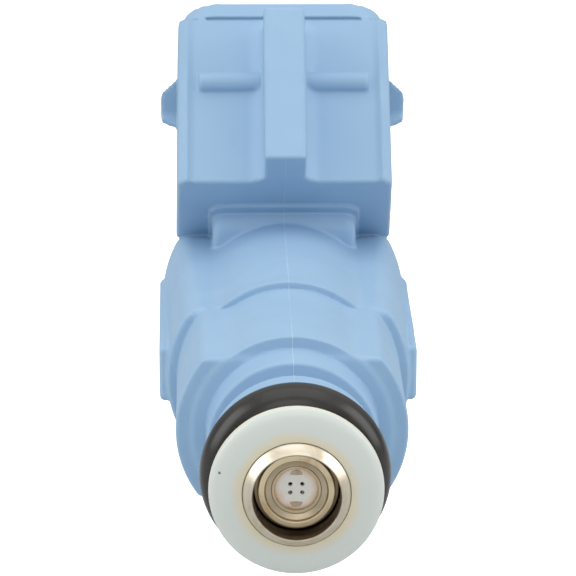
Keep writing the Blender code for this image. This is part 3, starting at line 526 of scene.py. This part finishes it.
def softened(corners, steps=6):
    """Closed outline with every corner eased: between the two points at its
    ease length along each side, a quadratic curve pulled to the corner."""
    corners = [tuple(map(float, c)) for c in corners]
    result = []
    for index, (r, y, ease) in enumerate(corners):
        here = np.array([r, y])
        before = np.array(corners[index - 1][:2])
        after = np.array(corners[(index + 1) % len(corners)][:2])
        back, ahead = before - here, after - here
        reach = min(ease, 0.48 * np.hypot(*back), 0.48 * np.hypot(*ahead))
        first = here + back / np.hypot(*back) * reach
        last = here + ahead / np.hypot(*ahead) * reach
        t = np.linspace(0.0, 1.0, steps)[:, None]
        result.append((1 - t) ** 2 * first + 2 * t * (1 - t) * here + t ** 2 * last)
        gap = after - last
        if np.hypot(*gap) > 3 * ease:
            result.append((last + gap / np.hypot(*gap) * 0.35 * ease)[None])
            result.append((after - gap / np.hypot(*gap) * 1.35 * max(corners[(index + 1) % len(corners)][2], 0.02))[None])
    return np.concatenate(result)


def round_place(tree):
    """Radius from the injector's axis and station along it, in metres."""
    place = node(tree, "ShaderNodeTexCoord").outputs["Object"]
    parts = node(tree, "ShaderNodeSeparateXYZ", Vector=place).outputs
    flat = node(tree, "ShaderNodeCombineXYZ", X=parts[0], Z=parts[2])
    return place, node(tree, "ShaderNodeVectorMath", {"operation": "LENGTH"}, i0=flat.outputs[0]).outputs["Value"], parts[1]


def cap_nylon():
    """Milky nylon: cream within 4.7 mm of the axis, bluish grey outside, with
    a pale cream band round the widest rim as a painted highlight, cloudy
    smudges, a few specks and light passing into the skin."""
    made = bpy.data.materials.new("milky_nylon")
    made.use_nodes = True
    tree = made.node_tree
    shader = tree.nodes["Principled BSDF"]
    place, radius, station = round_place(tree)
    wobble = node(tree, "ShaderNodeTexNoise", Vector=place, Scale=260.0, Detail=4.0, Roughness=0.6)
    sway = math_node(tree, "MULTIPLY", math_node(tree, "SUBTRACT", wobble.outputs["Fac"], 0.5), 0.0009)
    shifted = math_node(tree, "ADD", radius, sway)
    colour = blend_node(tree, ramp_node(tree, shifted, 0.0043, 0.0051), (0.725, 0.670, 0.500, 1), (0.670, 0.710, 0.670, 1))
    # Painted highlight: a pale cream band round the cap's widest rim, beyond 6.63 mm from the axis.
    colour = blend_node(tree, ramp_node(tree, radius, 0.00663, 0.00668), colour, (0.84, 0.76, 0.56, 1))
    smudge = node(tree, "ShaderNodeTexNoise", Vector=place, Scale=480.0, Detail=5.0, Roughness=0.65, Distortion=1.2)
    smear = math_node(tree, "MULTIPLY", ramp_node(tree, smudge.outputs["Fac"], 0.52, 0.74), 0.45)
    colour = blend_node(tree, smear, colour, (0.66, 0.68, 0.63, 1))
    speck = node(tree, "ShaderNodeTexVoronoi", Vector=place, Scale=520.0, Randomness=1.0)
    pick = cell_above(tree, speck, 0, 0.97)
    dot = math_node(tree, "MULTIPLY", math_node(tree, "LESS_THAN", speck.outputs["Distance"], 0.06), pick)
    colour = blend_node(tree, math_node(tree, "MULTIPLY", dot, 0.8), colour, (0.05, 0.045, 0.04, 1))
    tree.links.new(colour, shader.inputs["Base Color"])
    rough = node(tree, "ShaderNodeMapRange", Value=smudge.outputs["Fac"])
    rough.inputs["To Min"].default_value, rough.inputs["To Max"].default_value = 0.26, 0.5
    tree.links.new(rough.outputs[0], shader.inputs["Roughness"])
    relief = node(tree, "ShaderNodeBump", Strength=0.4, Distance=0.00003, Height=wobble.outputs["Fac"])
    tree.links.new(relief.outputs[0], shader.inputs["Normal"])
    shader.inputs["Subsurface Weight"].default_value = 0.35
    shader.inputs["Subsurface Radius"].default_value = (1.0, 0.85, 0.65)
    shader.inputs["Subsurface Scale"].default_value = 0.0006
    return made


# Outline corners are (radius, station, ease) in millimetres.
CAP = [
    (5.95, -1.865, 0.08), (6.16, -2.20, 0.10), (6.68, -3.42, 0.14), (6.62, -3.86, 0.16), (6.25, -4.14, 0.25),
    (5.60, -4.32, 0.40), (4.13, -4.58, 0.04), (4.13, -3.85, 0.03), (3.85, -3.50, 0.05), (3.85, -1.865, 0.05),
]
cap = turn_round(softened(CAP), 160, "nozzle_cap_skin", cap_nylon())
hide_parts("nozzle_cap")

# ---------------------------------------------------------------------------
# Valve body and plate retainer.  Stainless tube with a flared and faced nose,
# and a turned ring welded in it.  Both are coloured darker brown toward the axis, inside the bore.
# ---------------------------------------------------------------------------


def turned_marks():
    """Tool marks: fine grooves that follow the turning, and blotchy stains."""
    tree, take, give = group(
        "turned_marks",
        [
            ("Colour", "Color", (0.5, 0.5, 0.5, 1)),
            ("Stain", "Color", (0.3, 0.2, 0.1, 1)),
            ("Spread", "Float", 0.5),
            ("Rough", "Float", 0.3),
        ],
        [("Colour", "Color"), ("Roughness", "Float"), ("Height", "Float")],
    )
    place, radius, station = round_place(tree)
    line = node(tree, "ShaderNodeCombineXYZ", X=radius, Y=station).outputs[0]
    groove = node(tree, "ShaderNodeTexNoise", Vector=line, Scale=9000.0, Detail=2.0, Roughness=0.5)
    band = node(tree, "ShaderNodeTexNoise", Vector=line, Scale=1500.0, Detail=2.0, Roughness=0.5)
    blot = node(tree, "ShaderNodeTexNoise", Vector=place, Scale=420.0, Detail=6.0, Roughness=0.65, Distortion=0.8)
    cover = math_node(tree, "ADD", math_node(tree, "SUBTRACT", blot.outputs["Fac"], 0.5), take["Spread"])
    stain = ramp_node(tree, cover, 0.35, 0.75)
    turned = math_node(tree, "MULTIPLY", ramp_node(tree, band.outputs["Fac"], 0.3, 0.7), 0.35)
    tone = blend_node(tree, turned, take["Colour"], (0.33, 0.31, 0.28, 1))
    tree.links.new(blend_node(tree, stain, tone, take["Stain"]), give["Colour"])
    uneven = math_node(tree, "MULTIPLY", math_node(tree, "SUBTRACT", blot.outputs["Fac"], 0.4), 0.35)
    rough = math_node(tree, "ADD", take["Rough"], uneven)
    tree.links.new(rough, give["Roughness"])
    tree.links.new(groove.outputs["Fac"], give["Height"])
    return tree


TURNED = turned_marks()


def metal(name, colour, stain, spread, rough, groove=0.000006, full=1.0):
    """Turned or drawn metal over the shared turned_marks pattern."""
    made = bpy.data.materials.new(name)
    made.use_nodes = True
    tree = made.node_tree
    shader = tree.nodes["Principled BSDF"]
    marks = node(
        tree, "ShaderNodeGroup", {"node_tree": TURNED},
        Colour=(*colour, 1), Stain=(*stain, 1), Spread=spread, Rough=rough,
    )
    tree.links.new(marks.outputs["Colour"], shader.inputs["Base Color"])
    tree.links.new(marks.outputs["Roughness"], shader.inputs["Roughness"])
    relief = node(tree, "ShaderNodeBump", Strength=0.35, Distance=groove, Height=marks.outputs["Height"])
    tree.links.new(relief.outputs[0], shader.inputs["Normal"])
    shader.inputs["Metallic"].default_value = full
    return made


def inside_tone(made, low, high, colour, share=1.0):
    """Blends a metal toward another colour within a radius of the axis."""
    tree = made.node_tree
    shader = tree.nodes["Principled BSDF"]
    before = shader.inputs["Base Color"].links[0].from_socket
    place, radius, station = round_place(tree)
    within = math_node(tree, "SUBTRACT", 1.0, ramp_node(tree, radius, low, high))
    amount = math_node(tree, "MULTIPLY", within, share)
    tree.links.new(blend_node(tree, amount, before, (*colour, 1)), shader.inputs["Base Color"])


nose_steel = metal("nose_steel", (0.72, 0.66, 0.54), (0.52, 0.40, 0.25), 0.42, 0.30)
inside_tone(nose_steel, 0.00331, 0.00342, (0.060, 0.034, 0.013), 0.95)
NOSE = [(3.75, 20.0, 0.05), (3.75, -3.65, 0.05), (4.10, -4.00, 0.08), (4.10, -4.60, 0.10), (3.42, -5.40, 0.16),
        (3.30, -5.26, 0.10), (3.30, 20.0, 0.05)]
body = turn_round(softened(NOSE), 160, "valve_body_tube", nose_steel)
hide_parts("valve_body")

retainer_steel = metal("retainer_steel", (0.92, 0.77, 0.50), (0.62, 0.42, 0.20), 0.42, 0.36)
inside_tone(retainer_steel, 0.00236, 0.00242, (0.46, 0.39, 0.28), 0.70)
RETAINER = [
    (3.20, -3.10, 0.02), (3.20, -3.24, 0.03), (2.93, -3.28, 0.03), (2.93, -3.88, 0.08), (2.44, -3.90, 0.06),
    (2.35, -3.62, 0.05), (1.93, -3.42, 0.05), (1.86, -3.52, 0.03), (1.66, -3.48, 0.04), (1.66, -3.20, 0.02),
]
retainer = turn_round(softened(RETAINER), 144, "plate_retainer_ring", retainer_steel)
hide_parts("plate_retainer")

# ---------------------------------------------------------------------------
# Orifice plate.  A thin bright stamped steel disc with four drilled spray holes
# and two half-moon marks from the press tool, browned round its rim by fuel.
# ---------------------------------------------------------------------------


def plate_metal():
    """Bright satin steel that turns brown toward the rim of its window."""
    made = bpy.data.materials.new("plate_steel")
    made.use_nodes = True
    tree = made.node_tree
    shader = tree.nodes["Principled BSDF"]
    place, radius, station = round_place(tree)
    blot = node(tree, "ShaderNodeTexNoise", Vector=place, Scale=900.0, Detail=5.0, Roughness=0.6)
    sway = math_node(tree, "MULTIPLY", math_node(tree, "SUBTRACT", blot.outputs["Fac"], 0.5), 0.0009)
    edge = math_node(tree, "ADD", radius, sway)
    colour = blend_node(tree, ramp_node(tree, edge, 0.0011, 0.0020), (0.98, 0.97, 0.90, 1), (0.90, 0.56, 0.27, 1))
    tree.links.new(colour, shader.inputs["Base Color"])
    rough = node(tree, "ShaderNodeMapRange", Value=blot.outputs["Fac"])
    rough.inputs["To Min"].default_value, rough.inputs["To Max"].default_value = 0.42, 0.62
    tree.links.new(rough.outputs[0], shader.inputs["Roughness"])
    fine = node(tree, "ShaderNodeTexNoise", Vector=place, Scale=6000.0, Detail=2.0)
    relief = node(tree, "ShaderNodeBump", Strength=0.3, Distance=0.000006, Height=fine.outputs["Fac"])
    tree.links.new(relief.outputs[0], shader.inputs["Normal"])
    shader.inputs["Metallic"].default_value = 0.10
    return made


plate_steel = plate_metal()
cad["orifice_plate"].material_slots[0].material = plate_steel


mark_steel = metal("mark_steel", (0.66, 0.56, 0.42), (0.48, 0.34, 0.20), 0.46, 0.44, full=0.35)


def half_moon(name, side):
    """A low half disc pressed up from the plate: straight side toward the
    holes, arc outside, its top face falling off to the plate at the rim."""
    u = np.linspace(0.0, 1.0, 9)[:, None]
    a = np.linspace(0.0, 2.0 * np.pi, 48, endpoint=False)[None]
    x = 0.52 * np.cos(a) * u
    z = side * (1.10 + np.where(np.sin(a) > 0, 0.42, 0.05) * np.sin(a) * u)
    y = -3.085 - 0.045 * np.clip((1.0 - u) / 0.35, 0.0, 1.0) ** 0.5 + 0 * a
    front = np.stack([x, y, z], -1)
    back = front[::-1].copy()
    back[..., 1] = -3.07
    rings = np.concatenate([front[1:], back[:-1]])
    return lay(name, *closed_tube(rings), mark_steel)


for side, label in ((1, "top"), (-1, "bottom")):
    mark = half_moon("press_mark_" + label, side)

# ---------------------------------------------------------------------------
# Valve and magnet.  Ground seat, guide, ball and needle, soft-iron armature,
# yoke and washer, a steel sleeve between body and pole, and a chromed shim.
# ---------------------------------------------------------------------------
for name, colour, stain, spread, rough in (
    ("valve_seat", (0.56, 0.55, 0.52), (0.42, 0.36, 0.27), 0.30, 0.22),
    ("needle_guide", (0.52, 0.50, 0.46), (0.40, 0.33, 0.24), 0.30, 0.30),
    ("valve_ball", (0.66, 0.66, 0.66), (0.52, 0.50, 0.47), 0.10, 0.06),
    ("needle_tube", (0.55, 0.54, 0.52), (0.42, 0.36, 0.28), 0.25, 0.26),
    ("armature", (0.44, 0.44, 0.45), (0.30, 0.27, 0.23), 0.30, 0.33),
    ("return_spring", (0.50, 0.50, 0.48), (0.34, 0.30, 0.25), 0.25, 0.28),
    ("nonmagnetic_sleeve", (0.57, 0.55, 0.52), (0.42, 0.37, 0.30), 0.25, 0.34),
    ("lift_shim", (0.70, 0.70, 0.71), (0.55, 0.54, 0.53), 0.12, 0.14),
    ("magnet_yoke", (0.38, 0.38, 0.39), (0.25, 0.22, 0.19), 0.35, 0.40),
    ("flux_washer", (0.38, 0.38, 0.39), (0.25, 0.22, 0.19), 0.35, 0.40),
    ("adjusting_sleeve", (0.52, 0.50, 0.46), (0.38, 0.32, 0.24), 0.30, 0.34),
    ("terminal_left", (0.72, 0.70, 0.65), (0.50, 0.46, 0.38), 0.25, 0.28),
    ("terminal_right", (0.72, 0.70, 0.65), (0.50, 0.46, 0.38), 0.25, 0.28),
    ("coil_lead_left", (0.72, 0.36, 0.17), (0.45, 0.18, 0.07), 0.25, 0.25),
    ("coil_lead_right", (0.72, 0.36, 0.17), (0.45, 0.18, 0.07), 0.25, 0.25),
):
    cad[name].material_slots[0].material = metal(name + "_metal", colour, stain, spread, rough)

# ---------------------------------------------------------------------------
# Coil.  Enamelled copper wire wound in even layers on a cream nylon bobbin.
# The winding's outside shows every turn of the last layer as a small ridge.
# ---------------------------------------------------------------------------


def winding_section(inner, outer, start, end, pitch):
    """Outline of the winding: a plain bore, and outside a row of half-round
    ridges, radius = outer - lift * (1 - |sin|) along the station."""
    turns = int(round((end - start) / pitch))
    y = np.linspace(start, end, turns * 6 + 1)
    r = outer - 0.07 * (1.0 - np.abs(np.sin(np.pi * turns * (y - start) / (end - start))))
    outside = np.stack([r, y], 1)
    return np.concatenate([outside, [[inner, end], [inner, start]]])


low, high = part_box("coil_winding")
copper = metal("winding_copper", (0.70, 0.30, 0.12), (0.45, 0.15, 0.05), 0.30, 0.24)
coil = turn_round(winding_section(4.55, 5.745, low.y / MM, high.y / MM, 0.30), 72, "coil_winding_turns", copper)
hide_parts("coil_winding")
cad["coil_bobbin"].material_slots[0].material = nylon("bobbin_nylon", (0.62, 0.57, 0.45), (0.70, 0.66, 0.55))

# ---------------------------------------------------------------------------
# Rail end.  Drawn and flanged steel inlet tube, with a brass collared filter
# basket of pale nylon and gauze pressed in, and a dark ring behind the seal.
# ---------------------------------------------------------------------------
inlet_steel = metal("inlet_steel", (0.54, 0.52, 0.48), (0.42, 0.37, 0.30), 0.30, 0.28)
INLET = [(5.00, 67.00, 0.30), (5.00, 65.40, 0.25), (3.75, 65.40, 0.12), (3.75, 25.10, 0.05), (3.20, 25.10, 0.03),
         (3.20, 22.43, 0.05), (1.70, 22.43, 0.10), (1.70, 47.15, 0.10), (3.05, 48.50, 0.10), (3.05, 67.00, 0.30)]
inlet = turn_round(softened(INLET), 128, "inlet_tube_drawn", inlet_steel)
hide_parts("inlet_tube")
backup_nylon = nylon("backup_nylon", (0.035, 0.035, 0.036), (0.055, 0.055, 0.056), sheen=0.5)
BACKUP = [(6.60, 57.485, 0.16), (6.60, 58.735, 0.16), (3.85, 58.735, 0.08), (3.85, 57.485, 0.08)]
backup = turn_round(softened(BACKUP), 128, "rail_backup_ring_moulded", backup_nylon)
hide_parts("rail_backup_ring")
cad["filter_collar"].material_slots[0].material = metal("collar_brass", (0.78, 0.58, 0.26), (0.50, 0.32, 0.13), 0.25, 0.26)
cad["filter_frame"].material_slots[0].material = nylon("frame_nylon", (0.66, 0.62, 0.50), (0.74, 0.71, 0.61))


def gauze(name):
    """Woven gauze: crossing waves round the cup and along it, as relief and as
    lighter wires over darker gaps, the gaps' dark being painted shade."""
    made = bpy.data.materials.new(name)
    made.use_nodes = True
    tree = made.node_tree
    shader = tree.nodes["Principled BSDF"]
    place, radius, station = round_place(tree)
    parts = node(tree, "ShaderNodeSeparateXYZ", Vector=place).outputs
    angle = math_node(tree, "ARCTAN2", parts[2], parts[0])
    round_wave = math_node(tree, "ABSOLUTE", math_node(tree, "SINE", math_node(tree, "MULTIPLY", angle, 60.0)))
    long_wave = math_node(tree, "ABSOLUTE", math_node(tree, "SINE", math_node(tree, "MULTIPLY", station, 26000.0)))
    wire = math_node(tree, "MAXIMUM", round_wave, long_wave)
    # Painted shade: the gaps between the wires are coloured dark, the wires light.
    colour = blend_node(tree, ramp_node(tree, wire, 0.6, 0.95), (0.30, 0.28, 0.22, 1), (0.80, 0.78, 0.70, 1))
    tree.links.new(colour, shader.inputs["Base Color"])
    relief = node(tree, "ShaderNodeBump", Strength=0.5, Distance=0.00003, Height=wire)
    tree.links.new(relief.outputs[0], shader.inputs["Normal"])
    shader.inputs["Roughness"].default_value = 0.6
    return made


cad["filter_mesh"].material_slots[0].material = gauze("filter_gauze")

# ---------------------------------------------------------------------------
# Table, lights and camera.  A pale plain table, a wide soft box overhead, one
# at each side and a weak one in front, under a sky that darkens downward.
# ---------------------------------------------------------------------------
table_mesh = bpy.data.meshes.new("table")
table_mesh.from_pydata([(-6.0, -2.0, -0.030), (6.0, -2.0, -0.030), (6.0, 10.0, -0.030), (-6.0, 10.0, -0.030)], [], [(0, 1, 2, 3)])
table = bpy.data.objects.new("table", table_mesh)
bpy.context.scene.collection.objects.link(table)
pale = bpy.data.materials.new("pale_table")
pale.use_nodes = True
tree = pale.node_tree
seen = node(tree, "ShaderNodeLightPath").outputs["Is Camera Ray"]
lit = tree.nodes["Principled BSDF"]
lit.inputs["Base Color"].default_value = (0.60, 0.61, 0.62, 1)
lit.inputs["Roughness"].default_value = 0.9
lit.inputs["Specular IOR Level"].default_value = 0.0
bright = node(tree, "ShaderNodeEmission", Color=(1, 1, 1, 1), Strength=0.85)
glow = node(tree, "ShaderNodeAddShader")
tree.links.new(lit.outputs[0], glow.inputs[0])
tree.links.new(bright.outputs[0], glow.inputs[1])
choose = node(tree, "ShaderNodeMixShader", i0=seen)
tree.links.new(lit.outputs[0], choose.inputs[1])
tree.links.new(glow.outputs[0], choose.inputs[2])
tree.links.new(choose.outputs[0], tree.nodes["Material Output"].inputs["Surface"])
table_mesh.materials.append(pale)

world = bpy.data.worlds.new("studio")
bpy.context.scene.world = world
world.use_nodes = True
tree = world.node_tree
height = node(tree, "ShaderNodeSeparateXYZ", Vector=node(tree, "ShaderNodeTexCoord").outputs["Generated"]).outputs[2]
sky = blend_node(tree, ramp_node(tree, height, 0.0, 0.9), (0.38, 0.39, 0.41, 1), (0.90, 0.90, 0.89, 1))
tree.links.new(sky, tree.nodes["Background"].inputs["Color"])
tree.nodes["Background"].inputs["Strength"].default_value = 0.92


def soft_box(name, place, aim, size, power):
    """Square area light that faces a point."""
    data = bpy.data.lights.new(name, "AREA")
    data.size = size
    data.energy = power
    lamp = bpy.data.objects.new(name, data)
    bpy.context.scene.collection.objects.link(lamp)
    lamp.location = place
    lamp.rotation_euler = (Vector(aim) - Vector(place)).to_track_quat("-Z", "Y").to_euler()


soft_box("overhead_box", (0.0, -0.02, 0.42), (0.0, 0.02, 0.0), 0.44, 0.44)
soft_box("front_box", (-0.02, -0.36, 0.21), (0.0, 0.02, 0.0), 0.22, 0.17)
for side in (-1, 1):
    soft_box("side_box", (side * 0.37, -0.05, 0.18), (0.0, 0.03, 0.0), 0.30, 0.58)

PITCH, YAW, ROLL = math.radians(15.4854), math.radians(1.2182), math.radians(-0.1068)
forward = Vector((math.sin(YAW) * math.cos(PITCH), math.cos(YAW) * math.cos(PITCH), -math.sin(PITCH)))
level = Vector((math.cos(YAW), -math.sin(YAW), 0.0))
above = level.cross(forward)
right = math.cos(ROLL) * level - math.sin(ROLL) * above
top = math.sin(ROLL) * level + math.cos(ROLL) * above
camera_data = bpy.data.cameras.new("camera")
camera_data.sensor_width = 36.0
camera_data.lens = 2663.6 * 36.0 / 576.0
camera_data.clip_start = 0.01
camera = bpy.data.objects.new("camera", camera_data)
bpy.context.scene.collection.objects.link(camera)
turn = Matrix((right, top, -forward)).transposed().to_4x4()
camera.matrix_world = Matrix.Translation((-0.0047037, -0.1933602, 0.0684606)) @ turn
bpy.context.scene.camera = camera
bpy.context.scene.view_settings.view_transform = "Standard"
